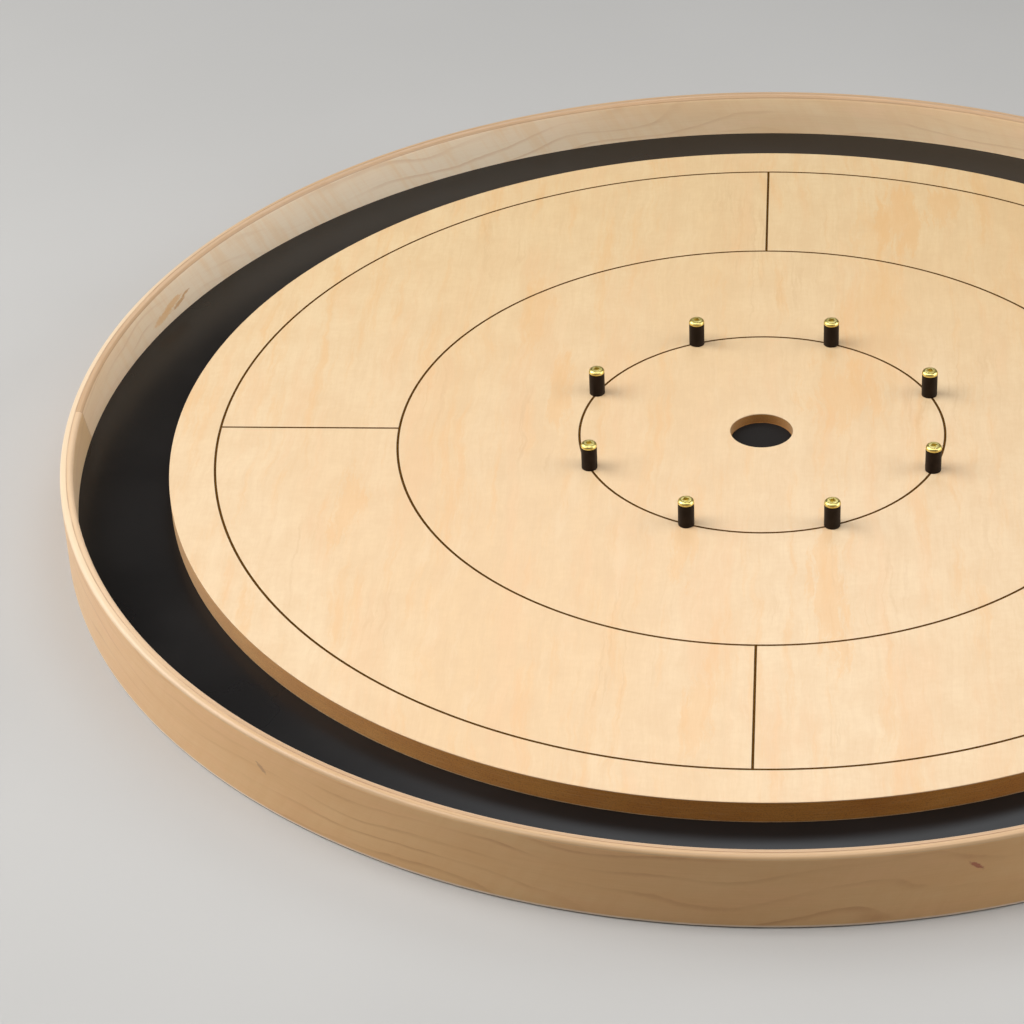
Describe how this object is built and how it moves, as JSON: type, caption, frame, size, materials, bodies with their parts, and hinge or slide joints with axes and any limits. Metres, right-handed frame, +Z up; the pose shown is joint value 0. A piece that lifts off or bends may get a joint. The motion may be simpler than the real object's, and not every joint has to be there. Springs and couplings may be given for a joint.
{
  "type": "crokinole board",
  "caption": "Round tabletop game board: veneered playing surface with scored rings, rubber-sleeved posts and a centre hole, over a black ditch inside a bent wooden rim.",
  "frame": {"origin": "centre of the board's flat underside, on the table", "axes": "+Z up through the centre hole; the quadrant lines lie along X and Y, and the near side is -Y"},
  "size_m": [0.7777, 0.7778, 0.0441],
  "materials": {
    "maple_veneer": "pale maple veneer under satin lacquer, dark brown scored lines",
    "fibreboard": "brown medium-density fibreboard, sealed edge",
    "backing_veneer": "plain unfinished backing veneer",
    "black_felt": "thin black felt",
    "particle_board": "raw particle board, covered on every side",
    "black_melamine": "satin black melamine facing",
    "bent_maple_inner": "steam-bent maple ply, satin lacquer",
    "bent_maple_outer": "steam-bent maple ply, satin lacquer",
    "black_rubber": "smooth black rubber tube",
    "brass": "bright brass, machined pan head",
    "zinc_steel": "zinc-plated steel"
  },
  "bodies": {
    "root": {"base_board": "particle_board", "centre_hole_pad": "black_felt", "ditch_facing": "black_melamine", "playing_surface_backer": "backing_veneer", "playing_surface_core": "fibreboard", "playing_surface_veneer": "maple_veneer", "post_screw_1": "brass", "post_screw_2": "brass", "post_screw_3": "brass", "post_screw_4": "brass", "post_screw_5": "brass", "post_screw_6": "brass", "post_screw_7": "brass", "post_screw_8": "brass", "post_sleeve_1": "black_rubber", "post_sleeve_2": "black_rubber", "post_sleeve_3": "black_rubber", "post_sleeve_4": "black_rubber", "post_sleeve_5": "black_rubber", "post_sleeve_6": "black_rubber", "post_sleeve_7": "black_rubber", "post_sleeve_8": "black_rubber", "rim_inner_ply": "bent_maple_inner", "rim_outer_ply": "bent_maple_outer", "surface_fixing_screws": "zinc_steel", "underside_facing": "black_melamine"}
  },
  "joints": []
}
